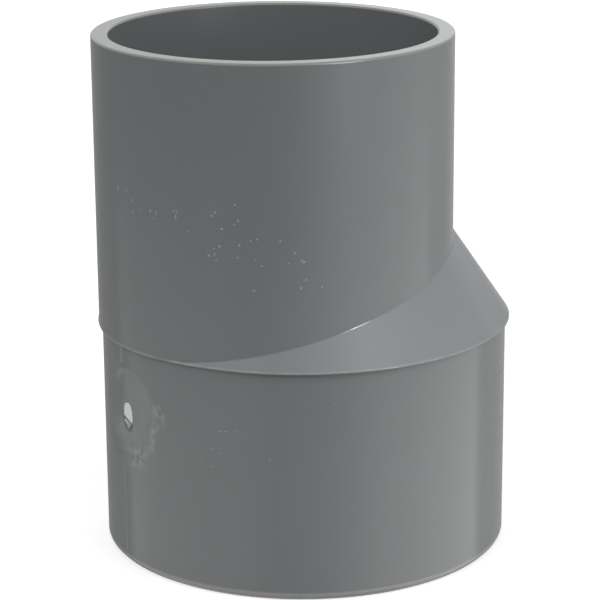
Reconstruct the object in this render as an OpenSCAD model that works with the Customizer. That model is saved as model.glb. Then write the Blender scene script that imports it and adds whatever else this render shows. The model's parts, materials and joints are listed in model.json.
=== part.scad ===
// Eccentric reducer for solvent-weld waste pipe, moulded in one piece.
// The plain spigot points down and glues into a fitting on the larger pipe.
// The socket points up and takes the smaller pipe, set off towards +X so that
// the inside of both runs level along one side. Millimetres, +Z up, origin on
// the spigot's axis at its open end.

/* [Spigot, large end] */
// Outside diameter of the spigot, the size of the larger pipe
spigot_od = 80; // [74:0.5:100]
// Length of the spigot, from its open end to the lip of the shoulder
spigot_len = 45.1; // [36:0.1:60]
// Wall of the spigot
spigot_wall = 3.2; // [2.8:0.1:4]
// Chamfer round the outside of the spigot's open end
spigot_chamfer = 0.7; // [0.3:0.1:1.5]
// Break of the inside edge at the spigot's open end
spigot_edge_break = 0.3; // [0.1:0.1:1]

/* [Shoulder] */
// How far the lip of the shoulder stands out beyond the spigot
lip_out = 0.8; // [0.5:0.05:2]
// Upright band under the slope, round the lip
lip_land = 0.1; // [0.05:0.05:1.5]
// Slope of the shoulder, in degrees above the horizontal
slope_angle = 55.9; // [45:0.1:62]
// Wall of the shoulder, square to its slope
shoulder_wall = 3.2; // [2.8:0.1:4]

/* [Socket, small end] */
// Bore of the socket, 0.2 over the size of the smaller pipe
socket_bore = 63.2; // [50:0.1:64]
// Wall of the socket
socket_wall = 3.25; // [2.8:0.05:4]
// Depth of the socket, from its rim to the pipe stop
socket_depth = 38.7; // [28:0.1:50]
// Chamfer round the outside of the socket's rim
rim_chamfer = 0.4; // [0.2:0.1:1]
// Lead-in chamfer round the mouth of the socket
mouth_chamfer = 0.3; // [0.2:0.1:1]

/* [Waterway] */
// Width of the ledge that stops the smaller pipe
stop_ledge = 1.6; // [1:0.1:3]
// Thickness of the stop above the tapered part of the waterway
stop_thickness = 2; // [1:0.1:4]
// Step of the inside, from the spigot up to the waterway, on the level side
invert_step = 0.3; // [0.1:0.1:1]

/* [Gate mark] */
// Diameter of the flat that the mould's feed bush leaves on the level side
gate_flat_d = 18.8; // [12:0.2:24]
// Depth of that flat, measured at its middle
gate_flat_depth = 1; // [0.4:0.1:1.2]
// Diameter of the stub left where the sprue was cut off
gate_stub_d = 4.4; // [2:0.1:6]
// How far the stub stands up from the flat
gate_stub_len = 0.5; // [0.2:0.1:0.8]
// Distance from the lip of the shoulder down to the middle of the flat
gate_drop = 14.4; // [10:0.1:20]

/* [Hidden] */
$fn = 180;
eps = 0.01; // overlap that keeps touching shapes one solid
past = 5;   // how far a cutter runs past the surface it opens

spigot_r = spigot_od / 2;
spigot_bore_r = spigot_r - spigot_wall;
lip_r = spigot_r + lip_out;
slope_foot_z = spigot_len + lip_land;
gate_z = spigot_len - gate_drop;

socket_bore_r = socket_bore / 2;
socket_r = socket_bore_r + socket_wall;
waterway_r = socket_bore_r - stop_ledge;

// The waterway meets the spigot's bore on the +X side: this sets the socket off.
socket_offset = spigot_bore_r - invert_step - waterway_r;

// The slope is a cone round the spigot's axis, and its radius shrinks with height.
slope_inside_r = lip_r - shoulder_wall / sin(slope_angle);
function slope_z(foot_r, r) = slope_foot_z + (foot_r - r) * tan(slope_angle);
function slope_r(foot_r, z) = foot_r - (z - slope_foot_z) / tan(slope_angle);

// The pipe stops where the slope ends on the socket's far side, on -X.
socket_floor_z = slope_z(lip_r, socket_r - socket_offset);
total_height = socket_floor_z + socket_depth;

// Outside, the cone runs on until it is hidden inside the socket's far wall.
slope_top_r = socket_r - socket_offset - socket_wall / 2;
slope_top_z = slope_z(lip_r, slope_top_r);

// Inside, it starts at the spigot's bore and ends under the pipe stop.
taper_foot_z = slope_z(slope_inside_r, spigot_bore_r);
taper_top_z = socket_floor_z - stop_thickness;
taper_top_r = slope_r(slope_inside_r, taper_top_z);
waterway_foot_z = spigot_len - past;

// Places what it holds on the socket's axis.
module on_socket_axis() {
    translate([socket_offset, 0, 0]) children();
}

// A round bar along X that starts at x_from on the level side and points out.
module from_level_side(x_from, radius, len) {
    translate([x_from, 0, gate_z]) rotate([0, 90, 0]) cylinder(r = radius, h = len);
}

module spigot_outside() {
    rotate_extrude() polygon([
        [0, 0],
        [spigot_r - spigot_chamfer, 0],
        [spigot_r, spigot_chamfer],
        [spigot_r, spigot_len + eps],
        [0, spigot_len + eps]
    ]);
}

module shoulder_outside() {
    rotate_extrude() polygon([
        [0, spigot_len],
        [lip_r, spigot_len],
        [lip_r, slope_foot_z],
        [slope_top_r, slope_top_z],
        [0, slope_top_z]
    ]);
}

module socket_outside() {
    on_socket_axis() rotate_extrude() polygon([
        [0, spigot_len],
        [socket_r, spigot_len],
        [socket_r, total_height - rim_chamfer],
        [socket_r - rim_chamfer, total_height],
        [0, total_height]
    ]);
}

module spigot_inside() {
    rotate_extrude() polygon([
        [0, -past],
        [spigot_bore_r + spigot_edge_break + past, -past],
        [spigot_bore_r, spigot_edge_break],
        [spigot_bore_r, taper_foot_z],
        [taper_top_r, taper_top_z],
        [0, taper_top_z]
    ]);
}

module waterway() {
    on_socket_axis() translate([0, 0, waterway_foot_z])
        cylinder(r = waterway_r, h = socket_floor_z + eps - waterway_foot_z);
}

module socket_inside() {
    on_socket_axis() rotate_extrude() polygon([
        [0, socket_floor_z],
        [socket_bore_r, socket_floor_z],
        [socket_bore_r, total_height - mouth_chamfer],
        [socket_bore_r + mouth_chamfer + past, total_height + past],
        [0, total_height + past]
    ]);
}

module gate_flat() {
    from_level_side(spigot_r - gate_flat_depth, gate_flat_d / 2, gate_flat_depth + past);
}

module gate_stub() {
    from_level_side(spigot_r - gate_flat_depth - eps, gate_stub_d / 2, gate_stub_len + eps);
}

module reducer_body() {
    color([0.44, 0.45, 0.46]) {
        difference() {
            union() {
                spigot_outside();
                shoulder_outside();
                socket_outside();
            }
            spigot_inside();
            waterway();
            socket_inside();
            gate_flat();
        }
        gate_stub();
    }
}

reducer_body();
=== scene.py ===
import json
import math

import bpy
import numpy as np
from mathutils import Matrix, Vector
from mathutils.bvhtree import BVHTree


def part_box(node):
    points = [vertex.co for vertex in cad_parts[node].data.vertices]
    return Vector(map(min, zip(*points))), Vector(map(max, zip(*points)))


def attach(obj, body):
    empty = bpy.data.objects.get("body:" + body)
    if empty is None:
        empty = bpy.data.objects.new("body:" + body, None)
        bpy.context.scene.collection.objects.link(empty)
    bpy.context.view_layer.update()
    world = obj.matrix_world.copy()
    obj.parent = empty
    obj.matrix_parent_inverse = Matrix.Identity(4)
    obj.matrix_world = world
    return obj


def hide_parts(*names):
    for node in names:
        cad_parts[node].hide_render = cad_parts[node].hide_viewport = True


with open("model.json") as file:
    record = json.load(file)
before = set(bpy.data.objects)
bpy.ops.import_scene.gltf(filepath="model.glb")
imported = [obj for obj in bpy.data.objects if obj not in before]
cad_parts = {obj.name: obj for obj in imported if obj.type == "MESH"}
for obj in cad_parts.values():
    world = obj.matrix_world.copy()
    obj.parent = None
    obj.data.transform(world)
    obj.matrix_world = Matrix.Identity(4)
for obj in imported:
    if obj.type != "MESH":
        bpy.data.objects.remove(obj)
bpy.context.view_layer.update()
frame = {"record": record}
bpy.context.scene.view_settings.view_transform = "Standard"
print("CAD frame loaded")

# Sizes are in millimetres up to the moment a mesh is made; the CAD's own are read from the frame.
mm = 0.001
hair = 0.01  # millimetres: what is closer than this to a wall counts as on it
mounts = {mount["name"]: mount for mount in frame["record"]["mounts"]}
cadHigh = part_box("reducer_body")[1]


def mountSpan(name):
    # radius, axis offset along X, and the two ends of a round mount's wall along Z
    mount = mounts[name]
    half = mount["dims"]["length_mm"] / 2
    middle = mount["pos_m"][2] / mm
    return mount["dims"]["r_mm"], mount["pos_m"][0] / mm, middle - half, middle + half


spigotR, _, chamferTop, lipHeight = mountSpan("spigot")
socketBoreR, socketX, floorHeight, mouthHeight = mountSpan("socket")
rimHeight = cadHigh.z / mm
lipR = cadHigh.y / mm  # the shoulder's lip is the widest part across
socketR = cadHigh.x / mm - socketX


photo = {"width": 600, "height": 600}

cameraSetting = {
    "azimuth": 148.5,     # degrees round the object, from -Y towards +X
    "distance": 457.5,    # millimetres from the spigot's axis
    "height": 181.6,
    "tilt": -16.346,      # degrees above the horizon
    "turn": -0.092,       # degrees to the right of the axis
    "roll": -0.43,
    "lens": 143.70,
}

# Where each thing shows in the photograph: an edge has one number, a feature has both.
imagePoints = {
    "rimLeft": {"x": 89.8},
    "rimRight": {"x": 455.3},
    "rimBack": {"y": 1.0},
    "rimFront": {"y": 66.0},
    "mouthLeft": {"x": 107.0},
    "mouthRight": {"x": 438.3},
    "mouthFront": {"y": 61.1},
    "lipRight": {"x": 509.7, "y": 315.6},
    "lipFront": {"y": 374.3},
    "creaseEnd": {"x": 452.3, "y": 228.0},
    "footLeft": {"x": 109.1},
    "footRight": {"x": 501.3},
    "footFront": {"y": 599.0},
    "gateStub": {"x": 128.5, "y": 416.0},
    "gateFlatTop": {"x": 122.5, "y": 365.0},
}


def makeCamera():
    setting = cameraSetting
    around = math.radians(setting["azimuth"])
    away = setting["distance"] * mm
    place = Vector((math.sin(around) * away, -math.cos(around) * away, setting["height"] * mm))
    aim = (Matrix.Rotation(around - math.radians(setting["turn"]), 4, "Z")
           @ Matrix.Rotation(math.radians(90 + setting["tilt"]), 4, "X")
           @ Matrix.Rotation(math.radians(setting["roll"]), 4, "Z"))
    data = bpy.data.cameras.new("camera")
    data.lens = setting["lens"]
    data.sensor_width = 36
    data.sensor_fit = "AUTO"
    data.clip_start = 0.01
    data.clip_end = 20
    data.dof.use_dof = False
    made = bpy.data.objects.new("camera", data)
    bpy.context.collection.objects.link(made)
    made.matrix_world = Matrix.Translation(place) @ aim
    bpy.context.scene.camera = made
    return made


camera = makeCamera()
longSide = max(photo["width"], photo["height"])
focal = longSide * camera.data.lens / camera.data.sensor_width
print("camera placed")


def toPhoto(points):
    # perspective division in the camera's own axes, for an array of points in metres
    turned = np.asarray(camera.matrix_world.inverted())
    local = points @ turned[:3, :3].T + turned[:3, 3]
    across = photo["width"] / 2 - camera.data.shift_x * longSide - focal * local[:, 0] / local[:, 2]
    down = photo["height"] / 2 + camera.data.shift_y * longSide + focal * local[:, 1] / local[:, 2]
    return np.stack([across, down], axis=1)


def placeOn(tree, x, y):
    # where the ray through that point of the photograph meets the surface, or the place nearest to it
    ray = Vector((x - photo["width"] / 2 + camera.data.shift_x * longSide,
                  photo["height"] / 2 - y + camera.data.shift_y * longSide, -focal))
    ray = (camera.matrix_world.to_3x3() @ ray).normalized()
    eye = camera.matrix_world.translation
    hit = tree.ray_cast(eye, ray)[0]
    if hit is None:
        stride, count = 0.5 * mm, 200  # steps along a ray that misses
        steps = [eye + ray * (eye.length + stride * step) for step in range(-count, count)]
        hit = min((tree.find_nearest(step) for step in steps), key=lambda found: found[3])[0]
    return hit, ray


def meshObject(name, corners, faces):
    # a smooth shaded object at the origin; corners come in millimetres and rest in metres
    mesh = bpy.data.meshes.new(name)
    mesh.from_pydata((np.asarray(corners) * mm).tolist(), [], faces)
    mesh.polygons.foreach_set("use_smooth", np.ones(len(mesh.polygons), bool))
    mesh.update()
    made = bpy.data.objects.new(name, mesh)
    bpy.context.collection.objects.link(made)
    return made


def ringFaces(rows, columns, closed):
    # quads between the rows of a grid whose columns run round; closed joins the last row to the first
    row, column = np.meshgrid(np.arange(rows if closed else rows - 1), np.arange(columns), indexing="ij")
    above, beside = (row + 1) % rows, (column + 1) % columns
    quads = [row * columns + column, row * columns + beside,
             above * columns + beside, above * columns + column]
    return np.stack(quads, axis=-1).reshape(-1, 4).tolist()


def smoothStep(low, high, value):
    part = np.clip((value - low) / (high - low), 0, 1)
    return part * part * (3 - 2 * part)


def waves(seed, count, length, along, across):
    # a sum of sine waves in random directions, 0.7 to 1.6 times length long, between -1 and 1
    pick = np.random.default_rng(seed)
    total = np.zeros(np.broadcast(along, across).shape)
    for _ in range(count):
        heading, start = pick.uniform(0, 2 * np.pi, 2)
        number = 2 * np.pi / (length * pick.uniform(0.7, 1.6))
        total += np.sin(number * (np.cos(heading) * along + np.sin(heading) * across) + start)
    return total / count


body = {
    "spigotWall": 3.2,
    "insideBreak": 0.3,      # chamfer inside the open end
    "slopeAngle": 55.9,      # degrees above the horizontal
    "lipLand": 0.1,
    "shoulderWall": 3.2,
    "stopLedge": 1.6,
    "stopThickness": 2.0,
    "edgeRound": 0.1,        # what the mould leaves on a sharp edge
    "noseRound": 0.2,        # the lip's rim
    "footRound": 1.0,
    "rimRound": 0.4,
    "creaseRound": 0.9,      # where the slope meets the tube
    "wideStep": 1.5,         # degrees between columns
    "fineStep": 0.24,        # the same across the gate mark
    "fineReach": 17.6,       # degrees to each side of it
    "farReach": 1.2,         # degrees to each side of the parting line at the back
    "farColumns": 10,
    "gateRowStep": 0.19,
    "leastSlope": 0.15,      # the slope's width where the tube comes up to the lip
    "leastLedge": 0.1,       # the same of the waterway's underside
}

gate = {
    "drop": 14.4,            # from the lip to the middle of the flat
    "flatR": 9.4,
    "flatDepth": 1.0,
    "flatEdge": 0.65,        # half the width of its edge where that is crisp
    "flatSoftEdge": 2.8,     # and where it runs out softly
    "crispTowards": 65,      # degrees from +Y up to the middle of the crisp part
    "leftSpread": 0.35,      # towards -Y the flat runs out into the wall further off
    "sideBlend": 0.3,        # how softly it runs out into the wall at its sides
    "leastCosine": 0.9,      # of the angle from +X: the mark lies where it is more
    "pitDepth": 0.28,        # the hole round the torn sprue
    "pitHalf": (2.15, 3.25),
    "pitMiddle": (-1.75, -0.95),
    "pitSide": (0.75, 1.05),  # in parts of its half, where its side begins and ends
    "swirl": 0.012,          # unevenness of the flat
    "flash": 0.06,           # height of the skin that the mould's edge left
    "flashHalf": 0.2,
    "partingLine": 0.05,
    "partingHalf": 0.2,
    "partingAt": -2.0,       # along Y, on the level side
}

# What the gate's flat and its edge have been through, with light and shade painted on them. Strengths run
# from
# 0 to 1, lengths are in millimetres, and a place is (along Y, up) from the middle of the flat.
wearAndPaintedLight = {
    "scourFrom": -3.4,       # along Y, where the scouring starts on the upper half
    "scourFade": 1.6,        # half the width over which it starts
    "scourEdge": (-1, 0.9),  # where it fades out, from the flat's edge
    "scourWander": 0.5,      # how far that edge wanders
    # low down the scouring's spread is painted light, which lifts the shade on the flat's lower left
    "footHeight": 6,         # from the middle down to this depth its outline changes,
    "footSpread": {"inside": 2, "left": 4.5, "fade": 3},  # by these: softer, further left, more gradual
    "whitened": 0.65,        # along the skin that the mould's edge left
    "whitenedHalf": 0.65,
    "whitenedFoot": 0.14,    # painted light all over the lower half
    "smear": {"middle": (2.2, -7.6), "half": (3.8, 2.2), "strength": 0.8},  # of whitened plastic, and a painted highlight
    "line": {"from": (0.4, 0.9), "half": 0.6, "strength": 0.3},  # a painted highlight on the mould's line, above the flat
    # painted shadow under the flat's top edge, where that line meets it, its middle measured from there
    "groove": {"middle": (0.2, 0.35), "half": (1.6, 2.4), "height": 0.22, "strength": 0.5},
    "stain": {"middle": (-4.2, 3.5), "half": (1.5, 2.5), "strength": 0.3},  # a darker patch on the left: painted shade
    "pitEdge": (0.9, 1.06),  # in parts of the pit's half, where its painted shade and dirt end
}

# Where the skin runs that the mould's edge left, as places of that kind.
flashLines = [
    [(9.2, 3.8), (10.0, 2.8), (11.0, 2.5), (11.3, 1.7), (9.9, 0.6), (9.0, -0.7), (8.1, -1.7), (8.4, -2.9),
     (8.5, -4.4), (6.8, -5.9), (4.1, -7.2), (2.3, -8.0), (1.5, -9.2)],
    [(2.3, -8.0), (3.8, -7.9), (5.8, -8.3)],
    [(10.0, 2.8), (10.3, 3.9)],
]


def reachOf(angle, radius, offset):
    # from the spigot's axis to a circle of that radius whose centre is offset along X, by the cosine rule
    return offset * np.cos(angle) + np.sqrt(radius ** 2 - (offset * np.sin(angle)) ** 2)


def slopeHeight(footR, radius):
    # the shoulder is a cone: it climbs by the tangent of its angle as its radius shrinks from the foot's
    rise = math.tan(math.radians(body["slopeAngle"]))
    return lipHeight + body["lipLand"] + (footR - radius) * rise


def ringAngles():
    # fine steps over the gate mark and over the parting line at the back, wide ones between them
    reach, line = body["fineReach"], body["farReach"]
    between = round((180 - line - reach) / body["wideStep"])
    mark = np.linspace(-reach, reach, round(2 * reach / body["fineStep"]), endpoint=False)
    near = np.linspace(reach, 180 - line, between, endpoint=False)
    back = np.linspace(180 - line, 180 + line, body["farColumns"], endpoint=False)
    far = np.linspace(180 + line, 360 - reach, between, endpoint=False)
    return np.radians(np.concatenate([mark, near, back, far]))


def bodyOutline(angle):
    # the wall cut open at each angle: (radius, height, rounding, row step of the run that follows)
    tube = reachOf(angle, socketR, socketX)
    bore = reachOf(angle, socketBoreR, socketX)
    mouth = reachOf(angle, socketBoreR + rimHeight - mouthHeight, socketX)
    water = reachOf(angle, socketBoreR - body["stopLedge"], socketX)
    spigotBore = spigotR - body["spigotWall"]
    # a rounded corner stands back from its point, so the point is set out and down the slope by that much
    noseR = lipR + body["noseRound"] * (1 / math.tan(math.radians(body["slopeAngle"] / 2)) - 1)
    noseHeight = slopeHeight(lipR, noseR)
    crease = slopeHeight(lipR, np.minimum(tube, lipR - body["leastSlope"]))
    innerFoot = lipR - body["shoulderWall"] / math.sin(math.radians(body["slopeAngle"]))
    taperTop = floorHeight - body["stopThickness"]
    taperR = innerFoot - (taperTop - slopeHeight(0, 0)) / math.tan(math.radians(body["slopeAngle"]))
    waterEnd = np.minimum(slopeHeight(innerFoot, water), taperTop)
    taperStart = np.maximum(water + body["leastLedge"], taperR)
    gateHeight = lipHeight - gate["drop"]
    gateReach = gate["flatR"] + 3 * gate["flatEdge"]  # close rows run this far above and below its middle
    edge = body["edgeRound"]
    return [
        (spigotBore + body["insideBreak"], 0, edge, None),
        (spigotR - chamferTop, 0, edge * 1.5, None),
        (spigotR, chamferTop, body["footRound"], 6),
        (spigotR, gateHeight - gateReach, 0, body["gateRowStep"]),
        (spigotR, gateHeight + gateReach, 0, 2),
        (spigotR, noseHeight, edge, None),
        (np.maximum(noseR, tube), noseHeight, body["noseRound"], 6),
        (tube, crease, body["creaseRound"], 8),
        (tube, rimHeight, body["rimRound"], None),
        (mouth, rimHeight, edge, None),
        (bore, mouthHeight, edge, 12),
        (bore, floorHeight, edge * 2, None),
        (water, floorHeight, edge * 2, 8),
        (water, waterEnd, edge, None),
        (taperStart, slopeHeight(innerFoot, taperStart), edge, 8),
        (spigotBore, slopeHeight(innerFoot, spigotBore), edge * 4, 12),
        (spigotBore, body["insideBreak"], edge, None),
    ]


def roundedRows(corners, angle):
    # carries the outline round: each corner becomes an arc tangent to both of its sides, written as a
    # weighted parabola whose weight is the sine of half the corner, which makes it part of a circle
    level = np.ones_like(angle)
    points = np.array([[radius * level, height * level] for radius, height, _, _ in corners])
    before, after = np.roll(points, 1, axis=0), np.roll(points, -1, axis=0)
    toBefore, toAfter = before - points, after - points
    lengthBefore = np.hypot(*np.moveaxis(toBefore, 1, 0))
    lengthAfter = np.hypot(*np.moveaxis(toAfter, 1, 0))
    toBefore /= lengthBefore[:, None]
    toAfter /= lengthAfter[:, None]
    half = np.arccos(np.clip((toBefore * toAfter).sum(axis=1), -1, 1)) / 2
    leastCut, cutShare = 0.03, 0.42  # an arc takes at least this length, and at most this share, of a side
    rows, ends = [], []
    for index, (_, _, rounding, _) in enumerate(corners):
        if rounding == 0:
            rows.append(points[index][None])
            ends.append((points[index], points[index]))
            continue
        room = cutShare * np.minimum(lengthBefore[index], lengthAfter[index])
        cut = np.minimum(np.maximum(rounding / np.tan(half[index]), leastCut), room)
        start = points[index] + toBefore[index] * cut
        end = points[index] + toAfter[index] * cut
        steps = 4 if rounding < 0.3 else 8  # a small arc needs few rows
        part = np.linspace(0, 1, steps + 1)[:, None, None]
        weight = np.sin(half[index])
        share = (1 - part) ** 2, 2 * part * (1 - part) * weight, part ** 2
        rows.append((share[0] * start + share[1] * points[index] + share[2] * end) / sum(share))
        ends.append((start, end))
    guard, guardShare = 0.12, 0.25  # a row this near each arc, or at this share, keeps the shading flat
    carried = []
    for index, (_, _, _, step) in enumerate(corners):
        carried.append(rows[index])
        start, end = ends[index][1], ends[(index + 1) % len(corners)][0]
        length = np.hypot(*(end - start))
        count = 2 if step is None else max(2, round(float(length.max()) / step) + 1)
        near = np.minimum(guard / length, guardShare)
        part = near + (1 - 2 * near) * np.linspace(0, 1, count)[:, None]
        carried.append(start + (end - start) * part[:, None, :])
    return np.concatenate(carried)


def gatePlace(angle, height):
    # along Y and up from the middle of the gate's flat
    return spigotR * np.sin(angle), height - (lipHeight - gate["drop"])


def ellipse(across, up, middle, half):
    # 0 in the middle of an upright ellipse and 1 on its outline
    return np.hypot((across - middle[0]) / half[0], (up - middle[1]) / half[1])


def bell(value):
    # a Gaussian, 1 at 0 and fading to both sides
    return np.exp(-value ** 2)


def awayFromLines(lines, across, up):
    # distance to lines of straight pieces: the least of the distances to each piece, whose nearest place is
    # the foot of the perpendicular, held between the piece's ends
    least = np.full(across.shape, np.inf)
    for (fromAcross, fromUp), (toAcross, toUp) in (piece for line in lines for piece in zip(line, line[1:])):
        runAcross, runUp = toAcross - fromAcross, toUp - fromUp
        part = ((across - fromAcross) * runAcross + (up - fromUp) * runUp) / (runAcross ** 2 + runUp ** 2)
        part = np.clip(part, 0, 1)
        apart = np.hypot(across - fromAcross - part * runAcross, up - fromUp - part * runUp)
        least = np.minimum(least, apart)
    return least


def gateRelief(angle, height, radius):
    # all of it changes the wall's radius: the flat is the chord plane at its depth, which fades into the wall
    # as a hyperbola fades into its lines, the pit an ellipse sunk into it, and the skin a low, patchy ridge
    across, up = gatePlace(angle, height)
    facing = np.cos(angle) > gate["leastCosine"]
    onWall = facing & (radius > spigotR - hair) & (height > chamferTop) & (height < lipHeight)
    away = np.hypot(np.where(across < 0, across * gate["leftSpread"], across), up)
    towards = np.arctan2(up, across) - math.radians(gate["crispTowards"])
    crisp = smoothStep(0.1, 0.9, np.cos(towards))
    half = gate["flatSoftEdge"] + (gate["flatEdge"] - gate["flatSoftEdge"]) * crisp
    outer = gate["flatR"] + gate["flatEdge"]
    inside = 1 - smoothStep(outer - 2 * half, outer, away)
    chord = (spigotR - gate["flatDepth"]) / np.where(facing, np.cos(angle), 1)
    below = radius - chord
    sunk = (below + np.sqrt(below ** 2 + gate["sideBlend"] ** 2)) / 2 * inside
    sunk = sunk + gate["swirl"] * waves(21, 12, 5.0, across, up) * inside
    pit = ellipse(across, up, gate["pitMiddle"], gate["pitHalf"])
    sunk = sunk + gate["pitDepth"] * (1 - smoothStep(*gate["pitSide"], pit))
    patchy = np.clip(waves(5, 9, 3.0, across, up) * 2.5 + 0.75, 0.15, 1)
    flash = gate["flash"] * bell(awayFromLines(flashLines, across, up) / gate["flashHalf"]) * patchy
    return np.where(onWall, flash - sunk, 0)


def gateWear(angle, height, radius):
    # how scoured, whitened and dirty each place is, from 0 to 1, with painted light and shade among them:
    # the scouring fades out to the left and spreads low down as painted light; the whitening follows the skin
    # and the parting line above the flat, where it is a painted highlight, and lifts the lower half as
    # painted light;
    # the dirt lies in the pit as painted shade, and painted shade lies under the flat's top edge and on its
    # left
    across, up = gatePlace(angle, height)
    flatR, midWall = gate["flatR"], spigotR - body["spigotWall"] / 2
    outside = (np.cos(angle) > gate["leastCosine"]) & (radius > midWall) & (height < lipHeight)
    away = np.hypot(across, up) + wearAndPaintedLight["scourWander"] * waves(31, 12, 3.5, across, up)
    # the scouring spreads further low down: painted light on the flat's lower left
    foot, spread = smoothStep(0, wearAndPaintedLight["footHeight"], -up), wearAndPaintedLight["footSpread"]
    fadeFrom, fadeTo = wearAndPaintedLight["scourEdge"]
    scoured = 1 - smoothStep(flatR + fadeFrom - spread["inside"] * foot, flatR + fadeTo, away)
    leftEnd = wearAndPaintedLight["scourFrom"] - spread["left"] * foot
    leftFade = wearAndPaintedLight["scourFade"] + spread["fade"] * foot
    scoured = scoured * smoothStep(leftEnd - leftFade, leftEnd + leftFade, across)
    scoured = scoured * np.clip(0.8 + 0.35 * waves(32, 10, 4.0, across, up), 0, 1)

    patchy = np.clip(0.4 + 1.2 * waves(33, 12, 2.2, across, up), 0, 1)
    skin = wearAndPaintedLight["whitened"] * bell(awayFromLines(flashLines, across, up) / wearAndPaintedLight["whitenedHalf"])
    smear, line, groove, stain = wearAndPaintedLight["smear"], wearAndPaintedLight["line"], wearAndPaintedLight["groove"], wearAndPaintedLight["stain"]
    # a pale smear at the flat's foot: whitened plastic, with a painted highlight of its upturned edge
    smearedAndHighlit = smear["strength"] * bell(ellipse(across, up, smear["middle"], smear["half"]))
    whitened = np.maximum(skin, smearedAndHighlit) * patchy
    # painted light over the flat's lower half, lifting the shade there
    whitened = whitened + wearAndPaintedLight["whitenedFoot"] * foot * (1 - smoothStep(flatR - 1, flatR + 1, away))
    # a painted highlight along the mould's ridge above the flat
    lineFrom, lineFull = line["from"]
    aboveFlat = line["strength"] * smoothStep(flatR + lineFrom, flatR + lineFull, up)
    whitened = whitened + aboveFlat * bell((across - gate["partingAt"]) / line["half"])

    # painted shade, with some dirt, in the pit round the torn sprue
    dirty = 1 - smoothStep(*wearAndPaintedLight["pitEdge"], ellipse(across, up, gate["pitMiddle"], gate["pitHalf"]))
    # painted shadow: a short dark line under the flat's top edge
    edgeShadowAcross, edgeShadowUp = groove["middle"]
    beside = abs(across - gate["partingAt"] - edgeShadowAcross)
    edgeShadowed = groove["strength"] * (1 - smoothStep(*groove["half"], beside))
    dirty = dirty + edgeShadowed * bell((up - flatR - edgeShadowUp) / groove["height"])
    # painted shade that dims a bright band on the flat's upper left
    dirty = dirty + stain["strength"] * bell(ellipse(across, up, stain["middle"], stain["half"]))
    marks = np.stack([scoured, whitened, dirty, np.ones(radius.shape)], axis=-1)
    return np.clip(marks, 0, 1) * outside[..., None]


def partingRidge(angle, radius):
    # a low ridge on the level side and opposite it, where the mould's halves met
    middle = np.where(np.cos(angle) > 0, gate["partingAt"], 0)
    return gate["partingLine"] * bell((np.sin(angle) * radius - middle) / gate["partingHalf"])


def makeBody():
    angle = ringAngles()
    rows = roundedRows(bodyOutline(angle), angle)
    radius, height = rows[:, 0], rows[:, 1]
    turned = np.broadcast_to(angle, radius.shape)
    relief = gateRelief(turned, height, radius)
    marks = gateWear(turned, height, radius)
    offFlat = np.hypot(*gatePlace(turned, height)) > gate["flatR"] + gate["flatEdge"]
    offFlat = offFlat | (np.cos(turned) < 0)
    onSpigot = (radius > spigotR - hair) & (height > chamferTop + 0.3) & (height < lipHeight - 0.2)
    radius = radius + relief + np.where(onSpigot & offFlat, partingRidge(turned, radius), 0)
    corners = np.stack([radius * np.cos(turned), radius * np.sin(turned), height], axis=-1)
    made = meshObject("reducerBody", corners.reshape(-1, 3), ringFaces(*radius.shape, closed=True))
    painted = made.data.color_attributes.new("gateWear", "FLOAT_COLOR", "POINT")
    painted.data.foreach_set("color", marks.ravel())
    print("body rows and columns", radius.shape, "triangles", 2 * radius.size)
    return made


reducerBody = makeBody()
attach(reducerBody, "root")
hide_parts("reducer_body")


def cornersOf(piece):
    # every piece lies at the origin unturned, so its own coordinates are the world's
    corners = np.empty(3 * len(piece.data.vertices))
    piece.data.vertices.foreach_get("co", corners)
    return corners.reshape(-1, 3)


def surfaceOf(*pieces):
    # one tree of the finished pieces, to meet rays with
    corners, faces, first = [], [], 0
    for piece in pieces:
        piece.data.calc_loop_triangles()
        triangles = np.empty(3 * len(piece.data.loop_triangles), int)
        piece.data.loop_triangles.foreach_get("vertices", triangles)
        corners.append(cornersOf(piece))
        faces.append(triangles.reshape(-1, 3) + first)
        first += len(piece.data.vertices)
    return BVHTree.FromPolygons(np.concatenate(corners).tolist(), np.concatenate(faces).tolist())


bodyTree = surfaceOf(reducerBody)


sprue = {
    "halfWidth": 1.85,
    "halfHeight": 3.0,
    "proud": 0.12,           # above the flat
    "crackAt": -1.1,         # where the crack across it lies, up from its middle
    "crackSlant": -0.31,
    "crackHalf": 0.3,
    "squarer": 1.4,          # added to the power of 2 of an ellipse, on its upper left
    "drawnIn": 0.15,         # how much narrower its foot is
    "ragged": 0.03,          # unevenness of its outline
    "tear": 0.1,             # height of the torn fibres
    "fineTear": 0.6,         # the short fibres' share of that
    "fibreSize": 0.5,
    "crumb": (-1.9, -2.6),   # up from the flat's middle, where the greyer crumb at its foot begins
    "sunken": (0.04, -0.1),  # out from the flat, where its pale face ends
    "rings": 30,
    "spokes": 80,
}


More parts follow.
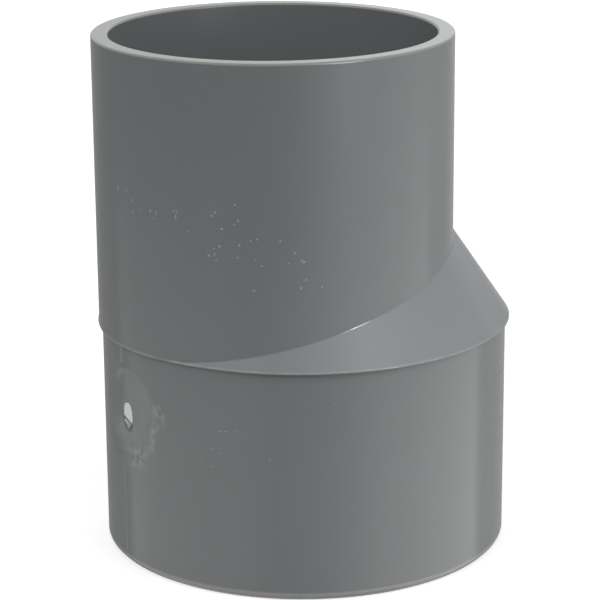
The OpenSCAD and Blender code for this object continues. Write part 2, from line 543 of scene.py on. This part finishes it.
def makeSprue():
    # a disc of rings and spokes whose outline is an ellipse with a squarer left side and a foot drawn to a
    # point; a crack parts off the crumb at its foot, and its side runs down into the pit and closes below
    spot, ray = placeOn(bodyTree, imagePoints["gateStub"]["x"], imagePoints["gateStub"]["y"])
    level = spigotR - gate["flatDepth"]
    spot = spot + ray * ((level * mm - spot.x) / ray.x)  # along the ray, up to the level of the flat
    spoke = np.linspace(0, 2 * np.pi, sprue["spokes"], endpoint=False)
    out = np.linspace(0, 1, sprue["rings"])[1:, None]
    upperLeft = smoothStep(0.2, 0.9, -np.cos(spoke)) * smoothStep(-0.7, -0.2, np.sin(spoke))
    power = 2 + sprue["squarer"] * upperLeft
    reach = (np.abs(np.cos(spoke)) ** power + np.abs(np.sin(spoke)) ** power) ** (-1 / power)
    besideFoot = smoothStep(0.35, 0.8, -np.sin(spoke)) * smoothStep(0, 0.5, np.abs(np.cos(spoke)))
    drawn = 1 - sprue["drawnIn"] * besideFoot
    ragged = 1 + sprue["ragged"] * waves(3, 6, 1.4, np.cos(spoke) * 2, np.sin(spoke) * 2)
    across = out * sprue["halfWidth"] * np.cos(spoke) * reach * drawn * ragged
    up = out * sprue["halfHeight"] * np.sin(spoke) * reach * drawn * ragged
    crack = bell((up - sprue["crackAt"] - sprue["crackSlant"] * across) / sprue["crackHalf"])
    edge = np.sqrt(1 - smoothStep(0.8, 1.0, out))
    fibres = waves(11, 14, 1.2, across, up * 0.5) + sprue["fineTear"] * waves(12, 10, 0.45, across, up)
    low = gate["pitDepth"] + 0.1   # its side ends this far below the flat, under the pit
    root = low + 0.4               # and closes here, inside the wall
    top = -low + (low + sprue["proud"] + sprue["tear"] * fibres) * edge - (low + 0.05) * crack * edge
    depth = np.concatenate([top, np.full((1, sprue["spokes"]), -root)])
    across = spot.y / mm + np.concatenate([across, across[-1:]])
    up = spot.z / mm + np.concatenate([up, up[-1:]])
    spots = np.stack([level + depth, across, up], axis=-1).reshape(-1, 3)
    peak = [level + top[0].mean(), spot.y / mm, spot.z / mm]
    base = [level - root, spot.y / mm, spot.z / mm]
    spots = np.concatenate([spots, [peak, base]])
    rows, columns = depth.shape
    ring = np.arange(columns)
    onward = (ring + 1) % columns
    last = (rows - 1) * columns
    fan = np.stack([np.full(columns, rows * columns), ring, onward], axis=1).tolist()
    cap = np.stack([np.full(columns, rows * columns + 1), last + onward, last + ring], axis=1).tolist()
    quads = [quad[::-1] for quad in ringFaces(rows, columns, closed=False)]
    return meshObject("tornSprue", spots, fan + quads + cap)


tornSprue = makeSprue()
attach(tornSprue, "root")
print("torn sprue made")


# Dust and scuffs that the mould pressed into the skin. Angles run from +X towards +Y, in degrees round the
# axis of the tube or of the spigot; heights are in millimetres; each patch gives middle and spread of both.
specks = {
    "seed": 8,
    "half": (0.14, 0.28),    # half the width of the smallest and the largest
    "proud": 0.05,
    "patches": [
        {"on": "tube", "count": 13, "angle": (21, 8), "height": (73.6, 1.7), "stretch": (0.8, 1.9)},
        {"on": "tube", "count": 21, "angle": (48, 6), "height": (67.8, 3.6), "stretch": (1.1, 1.0)},
        {"on": "tube", "count": 6, "angle": (68, 2.6), "height": (65.3, 3.4), "stretch": (1.0, 1.0)},
        {"on": "spigot", "count": 9, "angle": (34, 4.5), "height": (30, 4), "stretch": (1.7, 0.35)},
        {"on": "spigot", "count": 3, "angle": (60, 16), "height": (26, 9), "stretch": (0.9, 0.7)},
    ],
}


def makeSpecks():
    # each speck is a ball squashed into the wall: a grid of latitude and longitude with a point at each pole,
    # stretched along the wall's level, upright and outward directions
    pick = np.random.default_rng(specks["seed"])
    middles, halves, outward = [], [], []
    for patch in specks["patches"]:
        radius, offset = (socketR, socketX) if patch["on"] == "tube" else (spigotR, 0)
        count = patch["count"]
        angle = np.radians(pick.normal(patch["angle"][0], patch["angle"][1], count))
        height = pick.normal(patch["height"][0], patch["height"][1], count)
        middles.append(np.stack([offset + radius * np.cos(angle), radius * np.sin(angle), height], axis=1))
        half = pick.uniform(*specks["half"], count)
        halves.append(np.stack([np.full(count, specks["proud"]), half * patch["stretch"][0],
                                half * patch["stretch"][1]], axis=1))
        outward.append(angle)
    middles, halves, outward = map(np.concatenate, (middles, halves, outward))
    belts, columns = 5, 10
    latitude = np.linspace(-np.pi / 2, np.pi / 2, belts + 2)[1:-1, None]
    longitude = np.linspace(0, 2 * np.pi, columns, endpoint=False)
    ball = np.stack([np.sin(latitude) + 0 * longitude, np.cos(latitude) * np.cos(longitude),
                     np.cos(latitude) * np.sin(longitude)], axis=-1).reshape(-1, 3)
    ball = np.concatenate([ball, [[-1, 0, 0], [1, 0, 0]]])
    local = ball * halves[:, None]
    out, level = local[..., 0], local[..., 1]
    sine, cosine = np.sin(outward)[:, None], np.cos(outward)[:, None]
    spots = middles[:, None] + np.stack([out * cosine - level * sine, out * sine + level * cosine,
                                         local[..., 2]], axis=-1)
    ring = np.arange(columns)
    onward = (ring + 1) % columns
    low, high = belts * columns, belts * columns + 1
    last = (belts - 1) * columns
    caps = np.concatenate([np.stack([np.full(columns, low), onward, ring], axis=1),
                           np.stack([np.full(columns, high), last + ring, last + onward], axis=1)])
    sides = np.array(ringFaces(belts, columns, closed=False))
    first = (np.arange(len(middles)) * len(ball))[:, None, None]
    faces = (sides + first).reshape(-1, 4).tolist() + (caps + first).reshape(-1, 3).tolist()
    return meshObject("pressedSpecks", spots.reshape(-1, 3), faces)


pressedSpecks = makeSpecks()
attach(pressedSpecks, "root")
print("specks made")


def linearColour(hexColour):
    # sRGB hex to the linear values that Blender's sockets hold
    parts = [int(hexColour[index:index + 2], 16) / 255 for index in (1, 3, 5)]
    bent = [part / 12.92 if part <= 0.04045 else ((part + 0.055) / 1.055) ** 2.4 for part in parts]
    return (*bent, 1.0)


def addNode(tree, kind, links=None, **settings):
    # a node with its settings, and its sockets linked or set by name or number
    node = tree.nodes.new(kind)
    for name, value in settings.items():
        setattr(node, name, value)
    for socket, value in (links or {}).items():
        if isinstance(value, bpy.types.NodeSocket):
            tree.links.new(value, node.inputs[socket])
        else:
            node.inputs[socket].default_value = value
    return node


def newMaterial(name):
    material = bpy.data.materials.new(name)
    material.use_nodes = True
    material.node_tree.nodes.clear()
    return material, material.node_tree


pvc = {
    "colour": "#737677",
    "paler": "#787B7C",
    "scoured": "#868988",    # on the gate's flat; painted light low on its left too
    "whitened": "#ABAEAA",   # along the skin round it; painted light and highlights on the flat too
    "dirty": "#6C6E70",      # painted shade in the pit, with some dirt, under the flat's top edge and on its upper left
    # painted light on the rim's lit face, as well as its rubbing
    "wornRim": "#83827C",
    # a painted highlight on the lip's nose, as well as its rubbing
    "wornLip": "#8E8F8B",
    # a painted highlight on the foot's rounded edge, as well as its rubbing
    "wornFoot": "#979896",
    "torn": "#E4E4E0",
    "tornPaler": "#F4F4F1",
    "crumb": "#A9A9A6",
    "speck": "#8F9294",
    "ior": 1.53,
    "roughness": 0.2,
    "scouredRoughness": 0.32,
    "tornRoughness": 0.8,
    "speckRoughness": 0.4,
    "grainSize": 0.45,         # millimetres, as all below; the real one is too fine to show
    "grainHeight": 0.05,
    "flowSize": 26.0,
    "wearSize": 2.5,
    "rimWear": (0.55, 0.35),   # below the rim, where its wear and painted light begin and are full
    "lipWear": (0.3, 0.05),    # the same inwards from the lip
    "lipTop": (0.5, 0.25),     # and down the slope towards it
    "lipPatches": (0.3, 0.6),  # and these of a noise from 0 to 1: the lip's wear and highlight come and go
    "leastLipWear": 0.45,      # the share of it that is there all round
    "footAt": 1.0,             # height of the pale band round the foot, rubbed and with a painted highlight
    "footWear": (0.7, 0.25),   # where it begins and is full, above and below that
}


def mouldedPvc():
    # unplasticised PVC, injection moulded against fine steel: a dense grey with a tight satin gleam and a
    # faint cloudiness where the melt ran; the gate's flat is duller, and the rim and the lip are rubbed pale.
    # Light and shade are painted in as well: shade in the gate's pit, under its flat's top edge and on its
    # upper left; light over the flat's lower half; highlights along the mould's line, at the flat's foot, on
    # the rim's face, along the lip's nose and along the foot's edge
    material, tree = newMaterial("mouldedPvc")
    place = addNode(tree, "ShaderNodeTexCoord").outputs["Object"]
    height = addNode(tree, "ShaderNodeSeparateXYZ", {0: place}).outputs["Z"]
    flow = addNode(tree, "ShaderNodeTexNoise", {"Vector": place,
                                                "Scale": 1 / (pvc["flowSize"] * mm)}).outputs["Fac"]
    colour = addNode(tree, "ShaderNodeMix", {"Factor": flow, 6: linearColour(pvc["colour"]),
                                             7: linearColour(pvc["paler"])}, data_type="RGBA").outputs[2]

    marks = addNode(tree, "ShaderNodeAttribute", attribute_name="gateWear").outputs["Color"]
    scoured, whitened, dirty = addNode(tree, "ShaderNodeSeparateColor", {0: marks}).outputs

    # the rubbed bands, which are painted light too: the rim's face, the lip's nose from two sides, and just
    # above the foot's chamfer, the last two as painted highlights
    level = addNode(tree, "ShaderNodeVectorMath", {0: place, 1: (1, 1, 0)}, operation="MULTIPLY").outputs[0]
    out = addNode(tree, "ShaderNodeVectorMath", {0: level}, operation="LENGTH").outputs["Value"]
    # a pale band just above the foot's chamfer: rubbing, and a painted highlight on its rounded edge
    above = addNode(tree, "ShaderNodeMath", {0: height, 1: pvc["footAt"] * mm},
                    operation="SUBTRACT").outputs[0]
    above = addNode(tree, "ShaderNodeMath", {0: above}, operation="ABSOLUTE").outputs[0]
    bands = {"rimWear": (height, rimHeight, -1), "lipWear": (out, lipR, -1), "lipTop": (height, lipHeight, 1),
             "footWear": (above, 0, 1)}
    rubbedAndPaintedLight = []
    for name, (measure, start, side) in bands.items():
        begins, full = (start + side * far for far in pvc[name])
        rubbedAndPaintedLight.append(addNode(tree, "ShaderNodeMapRange", {"Value": measure, "From Min": begins * mm,
                                                           "From Max": full * mm}).outputs[0])
    rim, outer, lower, foot = rubbedAndPaintedLight
    patchy = addNode(tree, "ShaderNodeTexNoise", {"Vector": place,
                                                  "Scale": 1 / (pvc["wearSize"] * mm)}).outputs["Fac"]
    begins, full = pvc["lipPatches"]
    patchy = addNode(tree, "ShaderNodeMapRange", {"Value": patchy, "From Min": begins, "From Max": full,
                                                  "To Min": pvc["leastLipWear"]}).outputs[0]
    # the lip's nose: rubbed pale, with a painted highlight along it
    nose = addNode(tree, "ShaderNodeMath", {0: outer, 1: lower}, operation="MULTIPLY").outputs[0]
    nose = addNode(tree, "ShaderNodeMath", {0: nose, 1: patchy}, operation="MULTIPLY").outputs[0]

    # the marks laid over the grey, with painted shade and painted light among them
    tones = {"scoured": scoured, "whitened": whitened, "dirty": dirty, "wornRim": rim, "wornLip": nose,
             "wornFoot": foot}
    for tone, where in tones.items():
        colour = addNode(tree, "ShaderNodeMix", {"Factor": where, 6: colour, 7: linearColour(pvc[tone])},
                         data_type="RGBA").outputs[2]
    dull = addNode(tree, "ShaderNodeMath", {0: scoured, 1: rim}, operation="MAXIMUM").outputs[0]
    roughness = addNode(tree, "ShaderNodeMapRange", {
        "Value": dull, "To Min": pvc["roughness"], "To Max": pvc["scouredRoughness"]}).outputs[0]
    grain = addNode(tree, "ShaderNodeTexNoise", {"Vector": place, "Scale": 1 / (pvc["grainSize"] * mm),
                                                 "Detail": 3.0}).outputs["Fac"]
    bump = addNode(tree, "ShaderNodeBump", {"Height": grain, "Strength": 0.05,
                                            "Distance": pvc["grainHeight"] * mm})
    shader = addNode(tree, "ShaderNodeBsdfPrincipled", {
        "Base Color": colour, "Roughness": roughness, "IOR": pvc["ior"], "Normal": bump.outputs["Normal"]})
    addNode(tree, "ShaderNodeOutputMaterial", {"Surface": shader.outputs["BSDF"]})
    return material


def tornPvc():
    # the same plastic where the sprue was pulled off: stretched until it whitened, rough and fibrous, with
    # its own grey left in the crack and round the edge
    material, tree = newMaterial("tornPvc")
    place = addNode(tree, "ShaderNodeTexCoord").outputs["Object"]
    fibre = addNode(tree, "ShaderNodeTexNoise", {"Vector": place, "Scale": 1 / (sprue["fibreSize"] * mm),
                                                 "Detail": 4.0})
    colour = addNode(tree, "ShaderNodeMix", {"Factor": fibre.outputs["Fac"], 6: linearColour(pvc["torn"]),
                                             7: linearColour(pvc["tornPaler"])}, data_type="RGBA").outputs[2]
    along, _, height = addNode(tree, "ShaderNodeSeparateXYZ", {0: place}).outputs
    parts = {"crumb": (height, lipHeight - gate["drop"], "crumb"),
             "sunken": (along, spigotR - gate["flatDepth"], "scoured")}
    for name, (measure, start, tone) in parts.items():
        begins, full = (start + far for far in sprue[name])
        where = addNode(tree, "ShaderNodeMapRange", {"Value": measure, "From Min": begins * mm,
                                                     "From Max": full * mm}).outputs[0]
        colour = addNode(tree, "ShaderNodeMix", {"Factor": where, 6: colour, 7: linearColour(pvc[tone])},
                         data_type="RGBA").outputs[2]
    shader = addNode(tree, "ShaderNodeBsdfPrincipled", {
        "Base Color": colour, "Roughness": pvc["tornRoughness"], "IOR": pvc["ior"]})
    addNode(tree, "ShaderNodeOutputMaterial", {"Surface": shader.outputs["BSDF"]})
    return material


def pressedDust():
    # specks of scraped plastic and dust in the skin: paler than it, and only half as shiny
    material, tree = newMaterial("pressedDust")
    shader = addNode(tree, "ShaderNodeBsdfPrincipled", {
        "Base Color": linearColour(pvc["speck"]), "Roughness": pvc["speckRoughness"], "IOR": pvc["ior"]})
    addNode(tree, "ShaderNodeOutputMaterial", {"Surface": shader.outputs["BSDF"]})
    return material


reducerBody.data.materials.append(mouldedPvc())
tornSprue.data.materials.append(tornPvc())
pressedSpecks.data.materials.append(pressedDust())
print("materials made")


studio = {
    "floorHalf": 6.0,         # metres
    "floorAt": -0.05,         # millimetres: just under the foot, so that the two don't coincide
    "paper": "#C8C8C8",
    "paperLift": (0.65, 1),   # what it gives off to the camera, near the fitting and far out
    "liftReach": (0.3, 1.4),  # how far off in metres each of these holds
}

# Azimuth is in degrees to the right of the camera, as seen from the object; sizes are in metres. The lamps
# stand for a tent of cloth, so they don't show in reflections: the ring of cards below does.
lamps = {
    "overhead": {"azimuth": 0, "elevation": 88, "distance": 1.4, "size": (1.2, 1.2), "watts": 4.5},
    "right": {"azimuth": 75, "elevation": 20, "distance": 1.3, "size": (1.0, 1.0), "watts": 6.2},
    "rightHigh": {"azimuth": 45, "elevation": 48, "distance": 1.4, "size": (0.6, 0.6), "watts": 3.6},
    "left": {"azimuth": -80, "elevation": 20, "distance": 1.3, "size": (0.8, 1.0), "watts": 2.0},
    "leftHigh": {"azimuth": -45, "elevation": 40, "distance": 1.4, "size": (0.8, 0.8), "watts": 6.3},
    "front": {"azimuth": 5, "elevation": 35, "distance": 1.5, "size": (1.0, 0.8), "watts": 1.7},
    "back": {"azimuth": 180, "elevation": 45, "distance": 1.4, "size": (1.0, 0.8), "watts": 5.5},
}

# A ring of cards that only reflections see. An upright wall mirrors what lies far out or, lower down it,
# close in; the slope mirrors what stands high up. So each card has a tone for each of these three, and they
# add up. A card comes in between the two azimuths of its rise and goes out between those of its fall.
surround = {
    "radius": 1.5,           # metres
    "bottom": -1.4,
    "closeIn": -0.55,        # heights where the tones are those of close in, far out and high up
    "farOut": -0.2,
    "fadeFrom": 0.02,
    "highUp": 0.3,
    "top": 2.4,
    "cool": (0.94, 1.0, 1.03),
    "spark": {"azimuth": 46, "elevation": 8, "radius": 0.17, "strength": 58},  # a bare bulb
    "room": (0.04, 0.31, 1.1),  # the same three tones of what stands behind the cards
    "cards": {
        "leftStrip": {"rise": (-145, -128), "fall": (-119, -116), "tones": (0, 0.13, 0)},
        "leftPanel": {"rise": (-119, -116), "fall": (-37, 23), "tones": (0, 0.76, 0.32)},
        "leftFront": {"rise": (-97, -75), "fall": (-45, -10), "tones": (0, 0.18, 0)},
        "rightPanel": {"rise": (-15, 75), "fall": (114.5, 116.5), "tones": (0.13, 1.1, 0.17)},
        "rightWall": {"rise": (5, 77), "fall": (97, 174), "tones": (1.2, 0.67, 0)},
        "rightCeiling": {"rise": (-18, 41), "fall": (48, 139), "tones": (0, 0.69, 1.8)},
        "leftBack": {"rise": (-181, -180), "fall": (-169, -51), "tones": (0.33, 0, 0)},
        "rightBack": {"rise": (140, 169), "fall": (180, 181), "tones": (0.41, 0.04, 0.41)},
    },
}


def seenByEye(tree):
    # 1 where the camera, a reflection or a transmitted ray looks straight at the surface
    path = addNode(tree, "ShaderNodeLightPath").outputs
    seen = path["Is Camera Ray"]
    for kind in ("Is Glossy Ray", "Is Transmission Ray"):
        seen = addNode(tree, "ShaderNodeMath", {0: seen, 1: path[kind]}, operation="MAXIMUM").outputs[0]
    return seen


def makeFloor():
    half = studio["floorHalf"] / mm
    level = studio["floorAt"]
    corners = [(-half, -half, level), (half, -half, level), (half, half, level), (-half, half, level)]
    floor = meshObject("floor", corners, [(0, 1, 2, 3)])
    floor.visible_glossy = False
    material, tree = newMaterial("paper")
    plain = addNode(tree, "ShaderNodeBsdfDiffuse", {"Color": linearColour(studio["paper"])})
    place = addNode(tree, "ShaderNodeTexCoord").outputs["Object"]
    away = addNode(tree, "ShaderNodeVectorMath", {0: place}, operation="LENGTH").outputs["Value"]
    nearest, furthest = studio["liftReach"]
    least, most = studio["paperLift"]
    lift = addNode(tree, "ShaderNodeMapRange", {"Value": away, "From Min": nearest, "From Max": furthest,
                                                "To Min": least, "To Max": most}).outputs[0]
    lift = addNode(tree, "ShaderNodeMath", {0: lift, 1: seenByEye(tree)}, operation="MULTIPLY").outputs[0]
    glow = addNode(tree, "ShaderNodeEmission", {"Strength": lift})
    both = addNode(tree, "ShaderNodeAddShader", {0: plain.outputs[0], 1: glow.outputs[0]})
    addNode(tree, "ShaderNodeOutputMaterial", {"Surface": both.outputs[0]})
    floor.data.materials.append(material)


def makeWorld():
    world = bpy.data.worlds.new("studio")
    bpy.context.scene.world = world
    world.use_nodes = True
    tree = world.node_tree
    tree.nodes.clear()
    white = addNode(tree, "ShaderNodeBackground", {"Color": (1, 1, 1, 1), "Strength": seenByEye(tree)})
    addNode(tree, "ShaderNodeOutputWorld", {"Surface": white.outputs[0]})


def directionOf(setting):
    around = math.radians(cameraSetting["azimuth"] + setting["azimuth"])
    up = math.radians(setting["elevation"])
    return Vector((math.sin(around) * math.cos(up), -math.cos(around) * math.cos(up), math.sin(up)))


def makeLamp(name, setting):
    towards = directionOf(setting)
    data = bpy.data.lights.new(name, "AREA")
    data.shape = "RECTANGLE"
    data.size, data.size_y = setting["size"]
    data.energy = setting["watts"]
    lamp = bpy.data.objects.new(name, data)
    bpy.context.collection.objects.link(lamp)
    lamp.location = Vector((0, 0, rimHeight * mm / 2)) + towards * setting["distance"]
    lamp.rotation_euler = towards.to_track_quat("Z", "Y").to_euler()
    lamp.visible_camera = lamp.visible_glossy = False


def cardTones(tree, around):
    # the three tones of the room and of every card, added up round the whole ring
    tones = surround["room"]
    for card in surround["cards"].values():
        shown = []
        for edge in (card["rise"], card["fall"][::-1]):
            start, end = (azimuth / 360 + 0.5 for azimuth in edge)
            shown.append(addNode(tree, "ShaderNodeMapRange", {"Value": around, "From Min": start,
                                                              "From Max": end}).outputs[0])
        both = addNode(tree, "ShaderNodeMath", dict(enumerate(shown)), operation="MULTIPLY").outputs[0]
        tones = addNode(tree, "ShaderNodeVectorMath", {0: card["tones"], 1: both, 2: tones},
                        operation="MULTIPLY_ADD").outputs[0]
    return addNode(tree, "ShaderNodeSeparateXYZ", {0: tones}).outputs


def makeSurround():
    # the ring stands round the table and reaches below its edge
    columns = 72
    angle = np.linspace(0, 2 * np.pi, columns, endpoint=False)
    height = np.array([surround["bottom"], surround["top"]])[:, None] / mm
    radius = surround["radius"] / mm
    spots = np.stack([radius * np.cos(angle) + 0 * height, radius * np.sin(angle) + 0 * height,
                      height + 0 * angle], axis=-1).reshape(-1, 3)
    ring = meshObject("surround", spots, ringFaces(2, columns, closed=False))
    ring.visible_camera = ring.visible_diffuse = ring.visible_shadow = False
    material, tree = newMaterial("studioCards")
    material.cycles.emission_sampling = "NONE"
    place = addNode(tree, "ShaderNodeTexCoord").outputs["Object"]
    turn = (0, 0, math.radians(90 - cameraSetting["azimuth"]))
    turned = addNode(tree, "ShaderNodeMapping", {"Vector": place, "Rotation": turn}).outputs[0]
    around = addNode(tree, "ShaderNodeTexGradient", {"Vector": turned}, gradient_type="RADIAL").outputs["Fac"]
    height = addNode(tree, "ShaderNodeSeparateXYZ", {0: place}).outputs["Z"]
    near = addNode(tree, "ShaderNodeMapRange", {"Value": height, "From Min": surround["farOut"],
                                                "From Max": surround["closeIn"]}).outputs[0]
    farOut, closeIn, highUp = cardTones(tree, around)
    card = addNode(tree, "ShaderNodeMix", {"Factor": near, 6: farOut, 7: closeIn},
                   data_type="RGBA").outputs[2]
    fade = addNode(tree, "ShaderNodeMapRange", {"Value": height, "From Min": surround["fadeFrom"],
                                                "From Max": surround["highUp"]}).outputs[0]
    cool = addNode(tree, "ShaderNodeVectorMath", {0: surround["cool"], 1: highUp},
                   operation="MULTIPLY").outputs[0]
    tone = addNode(tree, "ShaderNodeMix", {"Factor": fade, 6: card, 7: cool}, data_type="RGBA").outputs[2]
    bulb = directionOf(surround["spark"]) * surround["radius"]
    away = addNode(tree, "ShaderNodeVectorMath", {0: place, 1: bulb}, operation="DISTANCE").outputs["Value"]
    lit = addNode(tree, "ShaderNodeMapRange", {"Value": away, "From Min": surround["spark"]["radius"],
                                               "From Max": surround["spark"]["radius"] / 2}).outputs[0]
    bright = (surround["spark"]["strength"],) * 3
    tone = addNode(tree, "ShaderNodeMix", {"Factor": lit, 6: tone, 7: (*bright, 1)},
                   data_type="RGBA").outputs[2]
    glow = addNode(tree, "ShaderNodeEmission", {"Color": tone})
    addNode(tree, "ShaderNodeOutputMaterial", {"Surface": glow.outputs[0]})
    ring.data.materials.append(material)


makeFloor()
makeWorld()
makeSurround()
for name, setting in lamps.items():
    makeLamp(name, setting)
print("studio lit")


def shownPlaces(tree, corners, chosen):
    # where the chosen corners that the camera sees show in the photograph
    slack = 0.3 * mm  # what is met first may be this far in front of a corner in view
    eye = camera.matrix_world.translation
    kept = []
    for corner in corners[chosen]:
        towards = Vector(corner) - eye
        hit = tree.ray_cast(eye, towards.normalized())[0]
        if hit is None or (hit - eye).length > towards.length - slack:
            kept.append(corner)
    return toPhoto(np.array(kept))


def writePoints():
    tree = surfaceOf(reducerBody, tornSprue)
    corners = cornersOf(reducerBody)
    along, across, height = corners.T / mm
    fromAxis = np.hypot(along, across)
    fromTube = np.hypot(along - socketX, across)
    crease = slopeHeight(lipR, fromAxis)
    up = height - (lipHeight - gate["drop"])
    onEdge = np.abs(np.hypot(across, up) - gate["flatR"]) < gate["flatEdge"] / 2
    rim = shownPlaces(tree, corners, (height > rimHeight - 1) & (fromTube > socketR - 0.5))
    mouth = shownPlaces(tree, corners, (height > mouthHeight - 0.05) & (fromTube < socketBoreR + 0.4))
    lip = shownPlaces(tree, corners, (abs(height - lipHeight) < 0.3) & (fromAxis > lipR - 0.15))
    fillet = shownPlaces(tree, corners, (abs(height - crease) < 0.3) & (abs(fromTube - socketR) < 0.3)
                         & (height > lipHeight + 1))
    foot = shownPlaces(tree, corners, (abs(height - chamferTop) < 0.4) & (fromAxis > spigotR - 0.15))
    ground = shownPlaces(tree, corners, (height < 0.1) & (fromAxis > spigotR - chamferTop - 0.2))
    flat = shownPlaces(tree, corners, onEdge & (along > 0) & (fromAxis > spigotR - 0.5) & (up > 0))
    stub = shownPlaces(tree, cornersOf(tornSprue), slice(None))
    shows = {
        "rimLeft": rim[rim[:, 0].argmin()],
        "rimRight": rim[rim[:, 0].argmax()],
        "rimBack": rim[rim[:, 1].argmin()],
        "rimFront": rim[rim[:, 1].argmax()],
        "mouthLeft": mouth[mouth[:, 0].argmin()],
        "mouthRight": mouth[mouth[:, 0].argmax()],
        "mouthFront": mouth[mouth[:, 1].argmax()],
        "lipRight": lip[lip[:, 0].argmax()],
        "lipFront": lip[lip[:, 1].argmax()],
        "creaseEnd": fillet[fillet[:, 1].argmin()],
        "footLeft": foot[foot[:, 0].argmin()],
        "footRight": foot[foot[:, 0].argmax()],
        "footFront": ground[ground[:, 1].argmax()],
        "gateStub": (stub.min(axis=0) + stub.max(axis=0)) / 2,
        "gateFlatTop": flat[flat[:, 1].argmin()],
    }
    rows = {}
    for name, spot in shows.items():
        point = imagePoints[name]
        rows[name] = {axis: {"point": point[axis], "shows": round(float(spot["xy".index(axis)]), 2),
                             "off": round(float(spot["xy".index(axis)]) - point[axis], 2)} for axis in point}
    for name, row in rows.items():
        print("point", name, {axis: value["off"] for axis, value in row.items()})


writePoints()
